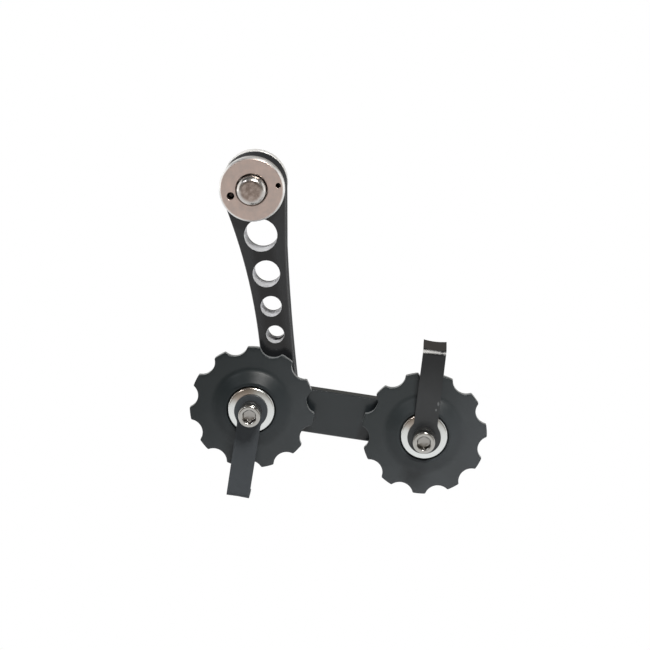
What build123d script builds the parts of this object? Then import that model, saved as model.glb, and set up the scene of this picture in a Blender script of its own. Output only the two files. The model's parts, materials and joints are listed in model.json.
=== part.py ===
# Sprung bicycle chain tensioner with two toothed pulleys on an L-shaped arm.
# Frame: X to the right and Z up as seen from the hub side, Y away from the hub.
# The origin is on the hanger bolt's axis, in the contact face of the stop disc.
import math
import os

from build123d import *

os.makedirs("parts", exist_ok=True)

# Stop disc and spindle, one turned piece that is clamped to the hanger
disc_diameter = 22.2
disc_thickness = 3.0
disc_chamfer = 0.7
bolt_hole_diameter = 10.6
bolt_hole_chamfer = 0.25
spindle_diameter = 11.9
spindle_seat = 2.5
spring_hole_diameter = 2.5
spring_hole_angle = 197.0
tool_hole_diameter = 1.8
tool_hole_radius = 9.1
tool_hole_angle = 9.5
pivot_play = 0.05
bush_clearance = 0.03

# Arm, from the pivot boss down to its foot on the bar
boss_diameter = 22.1
boss_x = 0.15
boss_z = -0.15
arm_thickness = 9.8
arm_edge_chamfer = 0.35
arm_left_lean = 21.0
arm_right_straight = 21.3
arm_foot_width = 12.6
arm_foot_offset = 9.55
arm_left_bow = 3.72
arm_right_bow = 0.54
window_line_x = 0.5
window_line_lean = 7.8
window_diameters = (11.2, 9.25, 7.15, 6.15)
window_web = 3.25
window_start = 10.8

# Bar that carries the two pulley axles
bar_width = 15.5
bar_thickness = 4.0
bar_rise = 0.32
bar_slope = 8.1
axle_spacing = 59.68
guide_axle_x = -0.25
guide_axle_z = -75.35
bar_corner_radius = 1.5

# Pivot bush, thrust washer, stop pin and torsion spring inside the boss
pocket_diameter = 18.0
pivot_web = 3.0
bush_wall = 0.45
bush_flange_width = 1.0
bush_flange_thickness = 0.5
washer_thickness = 0.4
washer_edge = 0.2
washer_width = 0.8
stop_pin_diameter = 1.8
stop_pin_radius = 9.0
stop_pin_seat = 2.0
stop_pin_reach = 1.4
stop_pin_angle = 135.0
stop_slot_depth = 1.8
stop_slot_clearance = 0.1
swing_range = 90.0
spring_wire = 1.4
spring_radius = 7.45
spring_pitch = 1.8
spring_turns = 2.75
spring_end_gap = 0.35
spring_leg_clearance = 0.1
spring_leg_reach = 1.6
disc_leg_reach = 1.0

# Outer cap and hanger bolt
cap_thickness = 4.6
cap_chamfer = 0.9
cap_recess_diameter = 16.4
bolt_diameter = 9.8
bolt_reach = 11.0
bolt_backed_out = 8.0
bolt_tip_chamfer = 1.0
bolt_head_diameter = 15.4
bolt_head_height = 5.0
bolt_head_chamfer = 0.6
bolt_socket_flats = 6.0
bolt_socket_depth = 4.5

# Pulleys
tooth_count = 11
tip_diameter = 42.8
notch_circle_radius = 23.45
notch_radius = 4.6
tooth_thickness = 2.3
tooth_corner_radius = 0.5
hub_width = 7.8
hub_diameter = 18.8
hub_cone_diameter = 27.4
guide_tooth_phase = -26.7
tension_tooth_phase = -12.6

# Deep-groove ball bearing in each pulley
bearing_bore = 5.0
bearing_diameter = 16.0
bearing_width = 5.0
inner_race_diameter = 8.2
outer_race_bore = 12.8
ball_count = 8
ball_diameter = 3.0
ball_clearance = 0.03
cage_wall = 1.0
cage_width = 3.8
cage_clearance = 0.1

# Dust caps, spacers and axle bolts
dust_cap_diameter = 16.2
dust_cap_disc = 1.2
dust_cap_boss_diameter = 7.8
dust_cap_boss = 0.7
dust_cap_edge = 0.5
dust_cap_fall = 0.25
dust_cap_gap = 0.35
rear_collar_diameter = 10.0
rear_collar = 0.6
axle_bolt_diameter = 4.9
axle_hole_clearance = 0.03
axle_head_diameter = 7.6
axle_head_height = 4.25
axle_head_edge = 0.5
axle_socket_flats = 4.0
axle_socket_depth = 2.6
spacer_diameter = 7.7
spacer_length = 2.4
spacer_bore_clearance = 0.1

# Chain guards, bent from sheet
guard_sheet = 1.2
guard_eye_diameter = 11.4
guard_root_width = 8.1
guard_tip_width = 7.85
guide_guard_reach = 31.3
tension_guard_reach = 31.0
guide_guard_lip = 8.5
tension_guard_lip = 13.3
guard_bend_radius = 0.8
guard_neck_radius = 3.0
guard_dish = 0.35
guide_guard_tilt = 8.9
tension_guard_tilt = 6.25

# Depths along Y, from the hanger face outwards
disc_radius = disc_diameter / 2
boss_radius = boss_diameter / 2
spindle_radius = spindle_diameter / 2
bush_bore_radius = spindle_radius + bush_clearance
bush_radius = bush_bore_radius + bush_wall
bush_flange_radius = bush_radius + bush_flange_width
arm_front = disc_thickness + washer_thickness + pivot_play
arm_rear = arm_front + arm_thickness
pocket_floor = arm_rear - pivot_web
washer_bore_radius = pocket_diameter / 2 + washer_edge
cap_front = arm_rear + bush_flange_thickness + pivot_play
cap_rear = cap_front + cap_thickness
head_seat = cap_front + spindle_seat
bolt_tip = bolt_backed_out - bolt_reach

# Depths along Y at the pulleys, from the bar's front face towards the hub
rear_cap_length = rear_collar + dust_cap_disc + dust_cap_boss
front_cap_length = dust_cap_disc + dust_cap_boss
pulley_mid = arm_front - rear_cap_length - bearing_width / 2
bearing_rear = pulley_mid + bearing_width / 2
bearing_front = pulley_mid - bearing_width / 2
guard_rear = bearing_front - front_cap_length
guard_front = guard_rear - guard_sheet
head_rear = guard_front - spacer_length
head_front = head_rear - axle_head_height

# Places in the XZ plane
slope = math.radians(bar_slope)
bar_direction = (math.cos(slope), -math.sin(slope))
foot_x = guide_axle_x + arm_foot_offset * bar_direction[0]
foot_z = guide_axle_z + arm_foot_offset * bar_direction[1]
tension_axle_x = guide_axle_x + axle_spacing * bar_direction[0]
tension_axle_z = guide_axle_z + axle_spacing * bar_direction[1]
bar_middle = ((guide_axle_x + tension_axle_x) / 2, (guide_axle_z + tension_axle_z) / 2 + bar_rise)


def facing_plane(y, x=0.0, z=0.0, turn=0.0):
    # Local x and y lie along X and Z, turned about Y, and the normal points at the hub
    angle = math.radians(turn)
    return Plane(origin=(x, y, z), x_dir=(math.cos(angle), 0, math.sin(angle)), z_dir=(0, -1, 0))


def turning_plane(x=0.0, z=0.0):
    # Local x is the radius and local y is the depth along Y
    return Plane(origin=(x, 0, z), x_dir=(1, 0, 0), z_dir=(0, 0, 1))


def turning_axis(x=0.0, z=0.0):
    return Axis((x, 0, z), (0, 1, 0))


def polar(radius, angle):
    return (radius * math.cos(math.radians(angle)), radius * math.sin(math.radians(angle)))


def bowed(start, end, bow):
    # Middle point of an arc that stands off its chord by bow, to the chord's right
    run = (end[0] - start[0], end[1] - start[1])
    length = math.hypot(*run)
    middle = ((start[0] + end[0]) / 2, (start[1] + end[1]) / 2)
    return (middle[0] + bow * run[1] / length, middle[1] - bow * run[0] / length)


def keep(piece, label):
    piece.label = label
    export_step(piece, f"parts/{label}.step")


# Stop disc with its hollow spindle
with BuildPart() as stop_disc:
    with BuildSketch(turning_plane()):
        with BuildLine():
            Polyline(
                (bolt_hole_diameter / 2 + bolt_hole_chamfer, 0),
                (disc_radius - disc_chamfer, 0),
                (disc_radius, disc_chamfer),
                (disc_radius, disc_thickness),
                (spindle_radius, disc_thickness),
                (spindle_radius, head_seat),
                (bolt_hole_diameter / 2, head_seat),
                (bolt_hole_diameter / 2, bolt_hole_chamfer),
                close=True,
            )
        make_face()
    revolve(axis=turning_axis())
    with BuildSketch(facing_plane(disc_thickness)):
        with Locations(polar(spring_radius, spring_hole_angle)):
            Circle(spring_hole_diameter / 2)
        with Locations(polar(tool_hole_radius, tool_hole_angle)):
            Circle(tool_hole_diameter / 2)
    extrude(amount=disc_thickness, mode=Mode.SUBTRACT)
keep(stop_disc.part, "stop_disc")

# Thrust washer between the disc and the boss rim
with BuildPart() as thrust_washer:
    with BuildSketch(facing_plane(disc_thickness + washer_thickness)):
        Circle(washer_bore_radius + washer_width)
        Circle(washer_bore_radius, mode=Mode.SUBTRACT)
    extrude(amount=washer_thickness)
keep(thrust_washer.part, "thrust_washer")

# Arm and bar, machined from one plate
lean = math.radians(window_line_lean)
left_lean = math.radians(arm_left_lean)
boss_top = (boss_x, boss_z + boss_radius)
left_top = (boss_x - boss_radius * math.cos(left_lean), boss_z - boss_radius * math.sin(left_lean))
left_foot = (
    foot_x - arm_foot_width / 2 * math.cos(lean),
    foot_z - arm_foot_width / 2 * math.sin(lean),
)
right_foot = (
    foot_x + arm_foot_width / 2 * math.cos(lean),
    foot_z + arm_foot_width / 2 * math.sin(lean),
)
foot_end = (
    foot_x + arm_foot_width / 2 * math.sin(lean),
    foot_z - arm_foot_width / 2 * math.cos(lean),
)
right_top = (boss_x + boss_radius, boss_z)
right_break = (boss_x + boss_radius, boss_z - arm_right_straight)

with BuildPart() as arm:
    with BuildSketch(facing_plane(arm_rear)) as arm_plan:
        with BuildLine():
            ThreePointArc(right_top, boss_top, left_top)
            ThreePointArc(left_top, bowed(left_top, left_foot, -arm_left_bow), left_foot)
            ThreePointArc(left_foot, foot_end, right_foot)
            ThreePointArc(right_foot, bowed(right_foot, right_break, -arm_right_bow), right_break)
            Line(right_break, right_top)
        make_face()
    extrude(amount=arm_thickness)
    with BuildSketch(facing_plane(arm_front + bar_thickness)) as bar_plan:
        add(arm_plan.sketch_local)
        with Locations(bar_middle):
            SlotCenterToCenter(axle_spacing, bar_width, rotation=-bar_slope)
        fillet(bar_plan.vertices().sort_by_distance((foot_x, foot_z))[:2], radius=bar_corner_radius)
    extrude(amount=bar_thickness)
    chamfer(arm.faces().sort_by(Axis.Y)[0].outer_wire().edges(), length=arm_edge_chamfer)
    with BuildSketch(facing_plane(arm_rear)):
        reach = window_start
        for diameter in window_diameters:
            reach += diameter / 2
            with Locations((window_line_x + reach * math.sin(lean), -reach * math.cos(lean))):
                Circle(diameter / 2)
            reach += diameter / 2 + window_web
    extrude(amount=arm_thickness, mode=Mode.SUBTRACT)
    with BuildSketch(facing_plane(pocket_floor)):
        Circle(pocket_diameter / 2)
    extrude(amount=arm_thickness, mode=Mode.SUBTRACT)
    with BuildSketch(facing_plane(arm_rear)):
        Circle(bush_radius)
        with Locations(polar(spring_radius, spring_hole_angle - spring_turns * 360)):
            Circle(spring_wire / 2 + spring_leg_clearance)
    extrude(amount=pivot_web, mode=Mode.SUBTRACT)
    with BuildSketch(facing_plane(arm_rear)):
        with Locations(polar(stop_pin_radius, stop_pin_angle)):
            Circle(stop_pin_diameter / 2)
    extrude(amount=stop_pin_seat, mode=Mode.SUBTRACT)
    with BuildSketch(facing_plane(arm_front + bar_thickness)):
        with Locations((guide_axle_x, guide_axle_z), (tension_axle_x, tension_axle_z)):
            Circle(axle_bolt_diameter / 2 + axle_hole_clearance)
    extrude(amount=bar_thickness, mode=Mode.SUBTRACT)
keep(arm.part, "arm")

# Flanged pivot bush, pressed into the web of the boss
with BuildPart() as pivot_bush:
    with BuildSketch(turning_plane()):
        with BuildLine():
            Polyline(
                (bush_bore_radius, pocket_floor),
                (bush_radius, pocket_floor),
                (bush_radius, arm_rear),
                (bush_flange_radius, arm_rear),
                (bush_flange_radius, arm_rear + bush_flange_thickness),
                (bush_bore_radius, arm_rear + bush_flange_thickness),
                close=True,
            )
        make_face()
    revolve(axis=turning_axis())
keep(pivot_bush.part, "pivot_bush")

# Stop pin, pressed into the back of the boss
with BuildPart() as stop_pin:
    with BuildSketch(facing_plane(cap_front + stop_pin_reach)):
        with Locations(polar(stop_pin_radius, stop_pin_angle)):
            Circle(stop_pin_diameter / 2)
    extrude(amount=cap_front + stop_pin_reach - arm_rear + stop_pin_seat)
keep(stop_pin.part, "stop_pin")

# Torsion spring, one leg in the disc and the other in the web of the boss
coil_front = disc_thickness + spring_end_gap + spring_wire / 2
coil_height = spring_turns * spring_pitch
with BuildPart() as torsion_spring:
    with BuildLine() as coil:
        Helix(spring_pitch, coil_height, spring_radius, center=(0, coil_front, 0), direction=(0, 1, 0))
    coil_start = coil.line @ 0
    start_angle = math.degrees(math.atan2(coil_start.Z, coil_start.X))
    coil_path = coil.line.rotate(Axis.Y, start_angle - spring_hole_angle)
    with BuildSketch(Plane(origin=coil_path @ 0, z_dir=coil_path % 0)):
        Circle(spring_wire / 2)
    sweep(path=coil_path, is_frenet=True)
    front_bend = coil_path @ 0
    rear_bend = coil_path @ 1
    with Locations(front_bend, rear_bend):
        Sphere(spring_wire / 2)
    with BuildSketch(facing_plane(front_bend.Y, front_bend.X, front_bend.Z)):
        Circle(spring_wire / 2)
    extrude(amount=front_bend.Y - disc_thickness + disc_leg_reach)
    with BuildSketch(facing_plane(pocket_floor + spring_leg_reach, rear_bend.X, rear_bend.Z)):
        Circle(spring_wire / 2)
    extrude(amount=pocket_floor + spring_leg_reach - rear_bend.Y)
keep(torsion_spring.part, "torsion_spring")

# Outer cap, pressed on the end of the spindle
with BuildPart() as outer_cap:
    with BuildSketch(turning_plane()):
        with BuildLine():
            Polyline(
                (spindle_radius, cap_front),
                (disc_radius, cap_front),
                (disc_radius, cap_rear - cap_chamfer),
                (disc_radius - cap_chamfer, cap_rear),
                (cap_recess_diameter / 2, cap_rear),
                (cap_recess_diameter / 2, head_seat),
                (spindle_radius, head_seat),
                close=True,
            )
        make_face()
    revolve(axis=turning_axis())
    with BuildSketch(facing_plane(cap_front + stop_slot_depth)):
        with BuildLine(mode=Mode.PRIVATE) as slot_path:
            CenterArc((0, 0), stop_pin_radius, stop_pin_angle - swing_range, swing_range)
        SlotArc(slot_path.line.edges()[0], stop_pin_diameter + 2 * stop_slot_clearance)
    extrude(amount=stop_slot_depth, mode=Mode.SUBTRACT)
keep(outer_cap.part, "outer_cap")

# Hanger bolt, backed out of its seat
with BuildPart() as hanger_bolt:
    with BuildSketch(turning_plane()):
        with BuildLine():
            Polyline(
                (0, bolt_tip),
                (bolt_diameter / 2 - bolt_tip_chamfer, bolt_tip),
                (bolt_diameter / 2, bolt_tip + bolt_tip_chamfer),
                (bolt_diameter / 2, head_seat + bolt_backed_out),
                (bolt_head_diameter / 2, head_seat + bolt_backed_out),
                (bolt_head_diameter / 2, head_seat + bolt_backed_out + bolt_head_height - bolt_head_chamfer),
                (bolt_head_diameter / 2 - bolt_head_chamfer, head_seat + bolt_backed_out + bolt_head_height),
                (0, head_seat + bolt_backed_out + bolt_head_height),
                close=True,
            )
        make_face()
    revolve(axis=turning_axis())
    with BuildSketch(facing_plane(head_seat + bolt_backed_out + bolt_head_height)):
        RegularPolygon(bolt_socket_flats / 2, 6, major_radius=False)
    extrude(amount=bolt_socket_depth, mode=Mode.SUBTRACT)
keep(hanger_bolt.part, "hanger_bolt")


def turned(points, x, z):
    # One turned ring from its half section
    with BuildPart() as ring:
        with BuildSketch(turning_plane(x, z)):
            with BuildLine():
                Polyline(*points, close=True)
            make_face()
        revolve(axis=turning_axis(x, z))
    return ring.part


def make_pulley(x, z, phase):
    half_tooth = tooth_thickness / 2
    seat_radius = bearing_diameter / 2
    recess_radius = dust_cap_diameter / 2 + dust_cap_gap
    with BuildPart() as pulley:
        with BuildSketch(facing_plane(pulley_mid + half_tooth, x, z, phase)):
            Circle(tip_diameter / 2)
            with PolarLocations(notch_circle_radius, tooth_count):
                Circle(notch_radius, mode=Mode.SUBTRACT)
        extrude(amount=tooth_thickness)
        tip_edges = pulley.edges().filter_by(Axis.Y)
        fillet(tip_edges, radius=tooth_corner_radius)
        with BuildSketch(turning_plane(x, z)):
            with BuildLine():
                Polyline(
                    (0, pulley_mid - hub_width / 2),
                    (hub_diameter / 2, pulley_mid - hub_width / 2),
                    (hub_cone_diameter / 2, pulley_mid - half_tooth),
                    (hub_cone_diameter / 2, pulley_mid + half_tooth),
                    (hub_diameter / 2, pulley_mid + hub_width / 2),
                    (0, pulley_mid + hub_width / 2),
                    close=True,
                )
            make_face()
        revolve(axis=turning_axis(x, z))
        with BuildSketch(facing_plane(pulley_mid + hub_width / 2, x, z)):
            Circle(seat_radius)
        extrude(amount=hub_width, mode=Mode.SUBTRACT)
        for recess_rear in (pulley_mid + hub_width / 2, bearing_front):
            with BuildSketch(facing_plane(recess_rear, x, z)):
                Circle(recess_radius)
            extrude(amount=(hub_width - bearing_width) / 2, mode=Mode.SUBTRACT)
    return pulley.part


def make_race(x, z, inner_radius, outer_radius):
    ball_path = (inner_race_diameter + outer_race_bore) / 4
    with BuildPart() as race:
        with BuildSketch(facing_plane(bearing_rear, x, z)):
            Circle(outer_radius)
            Circle(inner_radius, mode=Mode.SUBTRACT)
        extrude(amount=bearing_width)
        with BuildSketch(turning_plane(x, z)):
            with Locations((ball_path, pulley_mid)):
                Circle(ball_diameter / 2 + ball_clearance)
        revolve(axis=turning_axis(x, z), mode=Mode.SUBTRACT)
    return race.part


def make_balls(x, z):
    ball_path = (inner_race_diameter + outer_race_bore) / 4
    with BuildPart(facing_plane(pulley_mid, x, z)) as balls:
        with PolarLocations(ball_path, ball_count):
            Sphere(ball_diameter / 2)
    return balls.part


def make_cage(x, z):
    ball_path = (inner_race_diameter + outer_race_bore) / 4
    with BuildPart(facing_plane(pulley_mid, x, z)) as cage:
        Cylinder(ball_path + cage_wall / 2, cage_width)
        Cylinder(ball_path - cage_wall / 2, cage_width, mode=Mode.SUBTRACT)
        with PolarLocations(ball_path, ball_count):
            Cylinder(
                ball_diameter / 2 + cage_clearance,
                2 * cage_wall,
                rotation=(0, 90, 0),
                mode=Mode.SUBTRACT,
            )
    return cage.part


def make_dust_cap(x, z, contact, outward, collar):
    # contact is the face on the inner race; outward is +1 for the rear cap and -1 for the front
    bore = bearing_bore / 2
    rim = dust_cap_diameter / 2
    boss_end = contact + outward * dust_cap_boss
    disc_end = boss_end + outward * dust_cap_disc
    fall_end = disc_end - outward * dust_cap_fall
    points = [
        (bore, contact),
        (dust_cap_boss_diameter / 2, contact),
        (dust_cap_boss_diameter / 2, boss_end),
        (rim, boss_end),
        (rim, fall_end - outward * dust_cap_edge),
        (rim - dust_cap_edge, fall_end),
        (guard_eye_diameter / 2, disc_end),
    ]
    if collar > 0:
        points.append((rear_collar_diameter / 2, disc_end))
        points.append((rear_collar_diameter / 2, disc_end + outward * collar))
    points.append((bore, disc_end + outward * collar))
    return turned(points, x, z)


def make_axle_bolt(x, z):
    points = [
        (0, head_front),
        (axle_head_diameter / 2 - axle_head_edge, head_front),
        (axle_head_diameter / 2, head_front + axle_head_edge),
        (axle_head_diameter / 2, head_rear),
        (axle_bolt_diameter / 2, head_rear),
        (axle_bolt_diameter / 2, arm_front + bar_thickness),
        (0, arm_front + bar_thickness),
    ]
    with BuildPart() as axle_bolt:
        add(turned(points, x, z))
        with BuildSketch(facing_plane(head_front + axle_socket_depth, x, z)):
            RegularPolygon(axle_socket_flats / 2, 6, major_radius=False)
        extrude(amount=axle_socket_depth, mode=Mode.SUBTRACT)
    return axle_bolt.part


def make_spacer(x, z):
    bore = axle_bolt_diameter / 2 + spacer_bore_clearance
    points = [
        (bore, head_rear),
        (spacer_diameter / 2, head_rear),
        (spacer_diameter / 2, guard_front),
        (bore, guard_front),
    ]
    return turned(points, x, z)


def make_guard(x, z, turn, guard_reach, guard_lip):
    # The bent strip in side view, cut to the outline that shows along the axle
    angle = math.radians(turn)
    reach = (-math.sin(angle), 0, math.cos(angle))
    across = (math.cos(angle), 0, math.sin(angle))
    side_plane = Plane(origin=(x, 0, z), x_dir=reach, z_dir=across)
    eye_radius = guard_eye_diameter / 2
    outer_bend = guard_bend_radius + guard_sheet
    lip_end = guard_front + guard_lip
    dish_radius = (guard_tip_width ** 2 / 4 + guard_dish ** 2) / (2 * guard_dish)
    with BuildPart() as guard:
        with BuildSketch(side_plane):
            with BuildLine():
                Polyline(
                    (guard_reach - outer_bend, -guard_rear),
                    (-eye_radius, -guard_rear),
                    (-eye_radius, -guard_front),
                    (guard_reach - outer_bend, -guard_front),
                )
                RadiusArc(
                    (guard_reach - outer_bend, -guard_front),
                    (guard_reach, -guard_front - outer_bend),
                    outer_bend,
                )
                Polyline(
                    (guard_reach, -guard_front - outer_bend),
                    (guard_reach, -lip_end),
                    (guard_reach - guard_sheet, -lip_end),
                    (guard_reach - guard_sheet, -guard_front - outer_bend),
                )
                RadiusArc(
                    (guard_reach - guard_sheet, -guard_front - outer_bend),
                    (guard_reach - outer_bend, -guard_rear),
                    -guard_bend_radius,
                )
            make_face()
        extrude(amount=eye_radius, both=True)
        with BuildSketch(facing_plane(lip_end, x, z, turn)) as outline:
            with BuildLine():
                Polyline(
                    (-guard_root_width / 2, 0),
                    (guard_root_width / 2, 0),
                    (guard_tip_width / 2, guard_reach),
                    (-guard_tip_width / 2, guard_reach),
                    close=True,
                )
            make_face()
            Circle(eye_radius)
            fillet(outline.vertices().sort_by_distance((0, eye_radius))[:2], radius=guard_neck_radius)
            Circle(axle_bolt_diameter / 2 + spacer_bore_clearance, mode=Mode.SUBTRACT)
            with Locations((0, guard_reach - guard_dish + dish_radius)):
                Circle(dish_radius, mode=Mode.SUBTRACT)
        extrude(amount=guard_lip, mode=Mode.INTERSECT)
    return guard.part


# Both pulley stations, the guide pulley by the arm and the tension pulley at the bar's end
guide_place = (guide_axle_x, guide_axle_z, guide_tooth_phase)
tension_place = (tension_axle_x, tension_axle_z, tension_tooth_phase)
stations = (
    ("guide", *guide_place, 180.0 - guide_guard_tilt, guide_guard_reach, guide_guard_lip),
    ("tension", *tension_place, -tension_guard_tilt, tension_guard_reach, tension_guard_lip),
)
for station, x, z, phase, guard_turn, guard_reach, guard_lip in stations:
    keep(make_pulley(x, z, phase), f"{station}_pulley")
    keep(make_race(x, z, outer_race_bore / 2, bearing_diameter / 2), f"{station}_outer_race")
    keep(make_race(x, z, bearing_bore / 2, inner_race_diameter / 2), f"{station}_inner_race")
    keep(make_balls(x, z), f"{station}_bearing_balls")
    keep(make_cage(x, z), f"{station}_bearing_cage")
    keep(make_dust_cap(x, z, bearing_rear, 1, rear_collar), f"{station}_rear_dust_cap")
    keep(make_dust_cap(x, z, bearing_front, -1, 0), f"{station}_front_dust_cap")
    keep(make_axle_bolt(x, z), f"{station}_axle_bolt")
    keep(make_spacer(x, z), f"{station}_spacer")
    keep(make_guard(x, z, guard_turn, guard_reach, guard_lip), f"{station}_chain_guard")
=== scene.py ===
import json
import math
import bmesh
import bpy
import numpy as np
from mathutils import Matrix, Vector


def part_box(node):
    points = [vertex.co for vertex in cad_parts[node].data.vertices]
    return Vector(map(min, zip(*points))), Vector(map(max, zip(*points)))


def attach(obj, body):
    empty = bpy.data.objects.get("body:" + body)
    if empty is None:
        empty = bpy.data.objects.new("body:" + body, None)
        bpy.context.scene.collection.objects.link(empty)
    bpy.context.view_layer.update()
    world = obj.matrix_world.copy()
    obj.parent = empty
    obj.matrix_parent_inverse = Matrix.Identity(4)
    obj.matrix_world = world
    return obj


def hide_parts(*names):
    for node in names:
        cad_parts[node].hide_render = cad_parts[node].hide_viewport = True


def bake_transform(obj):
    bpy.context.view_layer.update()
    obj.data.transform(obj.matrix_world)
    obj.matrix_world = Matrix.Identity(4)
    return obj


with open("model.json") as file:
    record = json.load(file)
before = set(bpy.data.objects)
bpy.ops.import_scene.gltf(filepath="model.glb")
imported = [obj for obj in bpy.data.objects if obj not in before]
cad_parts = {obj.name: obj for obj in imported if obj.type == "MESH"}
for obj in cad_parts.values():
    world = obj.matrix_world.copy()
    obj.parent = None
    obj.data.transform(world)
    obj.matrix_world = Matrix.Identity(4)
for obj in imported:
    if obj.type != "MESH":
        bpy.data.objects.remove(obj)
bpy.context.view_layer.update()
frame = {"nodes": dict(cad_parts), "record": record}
nodes = frame["nodes"]
scene = bpy.context.scene
scene.view_settings.view_transform = "Standard"
mm = 0.001
stations = ("guide", "tension")
print("frame loaded:", len(nodes), "nodes")


def middleOf(node):
    # middle of a CAD node's box, in millimetres
    low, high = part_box(node)
    return np.array((low + high) / 2 / mm).tolist()


def endsOf(node):
    # front and rear of a CAD node's box, along Y and in millimetres
    low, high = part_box(node)
    return low[1] / mm, high[1] / mm


axles = {station: middleOf(station + "_outer_race") for station in stations}
pivot = (0.0, 0.0, 0.0)


# camera and lamps

cameraSetup = {
    "place": (0.0641, -0.7587, 0.1377),  # metres, in front of the hub side and above
    "aim": (0.02471, 0.0, -0.04642),
    "lens": 127.3,
    "sensor": 36.0,
    "nearest": 0.01,
}

camera = bpy.data.objects.new("photoCamera", bpy.data.cameras.new("photoCamera"))
scene.collection.objects.link(camera)
camera.location = cameraSetup["place"]
lookAlong = Vector(cameraSetup["aim"]) - Vector(cameraSetup["place"])
camera.rotation_euler = lookAlong.to_track_quat("-Z", "Y").to_euler()
camera.data.lens = cameraSetup["lens"]
camera.data.sensor_width = cameraSetup["sensor"]
camera.data.clip_start = cameraSetup["nearest"]
scene.camera = camera

lamps = {  # degrees about the aim, then metres
    "keyLamp": {
        "turn": 21, "rise": 50, "reach": 1.2, "size": 0.29, "watts": 15.0, "color": (1.0, 0.98, 0.95)},
    "leftLamp": {
        "turn": -46, "rise": 40, "reach": 1.3, "size": 0.16, "watts": 1.9, "color": (0.95, 0.97, 1.0)},
    "backLamp": {
        "turn": -140, "rise": 35, "reach": 1.4, "size": 1.30, "watts": 6.0, "color": (1.0, 1.0, 1.0)},
    "rightSideLamp": {
        "turn": 100, "rise": 14, "reach": 1.4, "size": 1.20, "watts": 5.5, "color": (1.0, 1.0, 1.0)},
    "leftSideLamp": {
        "turn": -100, "rise": 14, "reach": 1.4, "size": 1.20, "watts": 5.5, "color": (1.0, 1.0, 1.0)},
}


def lampWay(turn, rise):
    # direction from the aim to a lamp: turned about Z from the front, then raised
    turn, rise = math.radians(turn), math.radians(rise)
    return Vector((math.sin(turn) * math.cos(rise), -math.cos(turn) * math.cos(rise), math.sin(rise)))


for name, lamp in lamps.items():
    way = lampWay(lamp["turn"], lamp["rise"])
    light = bpy.data.lights.new(name, "AREA")
    light.size = lamp["size"]
    light.energy = lamp["watts"]
    light.color = lamp["color"]
    holder = bpy.data.objects.new(name, light)
    scene.collection.objects.link(holder)
    holder.location = Vector(cameraSetup["aim"]) + way * lamp["reach"]
    holder.rotation_euler = (-way).to_track_quat("-Z", "Y").to_euler()
print("camera and", len(lamps), "lamps placed")


# shader maths as plain expressions on sockets

class Wire:
    def __init__(self, tree, socket=None):
        self.tree, self.socket = tree, socket

    def node(self, kind, settings=None, sockets=None, out=0):
        # any node: its settings first, then the values or links of its sockets
        made = self.tree.nodes.new(kind)
        for key, value in (settings or {}).items():
            setattr(made, key, value)
        for key, value in (sockets or {}).items():
            if isinstance(value, Wire):
                self.tree.links.new(value.socket, made.inputs[key])
            else:
                made.inputs[key].default_value = value
        return Wire(self.tree, made.outputs[out] if len(made.outputs) else None)

    def other(self, name):
        # another output of the same node
        return Wire(self.tree, self.socket.node.outputs[name])

    def math(self, operation, *values):
        return self.node("ShaderNodeMath", {"operation": operation}, dict(enumerate(values)))

    def __add__(self, value):
        return self.math("ADD", self, value)

    def __sub__(self, value):
        return self.math("SUBTRACT", self, value)

    def __rsub__(self, value):
        return self.math("SUBTRACT", value, self)

    def __mul__(self, value):
        return self.math("MULTIPLY", self, value)

    def __truediv__(self, value):
        return self.math("DIVIDE", self, value)

    def __pow__(self, value):
        return self.math("POWER", self, value)

    def __abs__(self):
        return self.math("ABSOLUTE", self)

    def __lt__(self, value):
        return self.math("LESS_THAN", self, value)

    def __gt__(self, value):
        return self.math("GREATER_THAN", self, value)

    __radd__ = __add__
    __rmul__ = __mul__

    def step(self, low, high):
        # smooth rise from 0 at low to 1 at high
        return self.node(
            "ShaderNodeMapRange", {"interpolation_type": "SMOOTHSTEP"},
            {"Value": self, "From Min": low, "From Max": high})

    def sway(self, middle, spread):
        # value that sways about its middle: middle + spread (wire - 1/2)
        return self * spread + (middle - spread / 2)

    def blend(self, first, second):
        # colour mix, with this wire as the factor; the numbers are the colour sockets of the Mix node
        return self.node("ShaderNodeMix", {"data_type": "RGBA"}, {0: self, 6: first, 7: second}, out=2)

    def between(self, first, second):
        # shader mix, with this wire as the factor
        return self.node("ShaderNodeMixShader", sockets={0: self, 1: first, 2: second})


def rgb(red, green, blue):
    return (red, green, blue, 1.0)


def startPaint(name):
    # an empty material, with its Object coordinates in millimetres
    material = bpy.data.materials.new(name)
    material.use_nodes = True
    material.node_tree.nodes.clear()
    start = Wire(material.node_tree)
    place = start.node(
        "ShaderNodeVectorMath", {"operation": "SCALE"},
        {"Vector": start.node("ShaderNodeTexCoord", out="Object"), "Scale": 1 / mm})
    return material, start, place


def coatOf(start, sockets):
    # one coat, as a Principled shader with these sockets
    return start.node("ShaderNodeBsdfPrincipled", sockets=sockets)


def closePaint(start, shader):
    # the shader becomes the surface of the material
    start.node("ShaderNodeOutputMaterial", sockets={"Surface": shader})


def axesOf(place):
    # x, y and z of a place, as wires of their own
    parts = place.node("ShaderNodeSeparateXYZ", sockets={"Vector": place})
    return parts, parts.other("Y"), parts.other("Z")


def radiusFrom(place, middle):
    # distance in the XZ plane from an axis along Y: root of the sum of squares
    across, _, height = axesOf(place)
    return ((across - middle[0]) ** 2 + (height - middle[2]) ** 2) ** 0.5


def noise(place, scale, detail=3.0, roughness=0.5):
    # soft clouds in space, about as many to the millimetre as the scale says
    return place.node(
        "ShaderNodeTexNoise", {"noise_dimensions": "3D"},
        {"Vector": place, "Scale": scale, "Detail": detail, "Roughness": roughness})


latheMarks = {"detail": 4.0, "roughness": 0.7}


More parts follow.
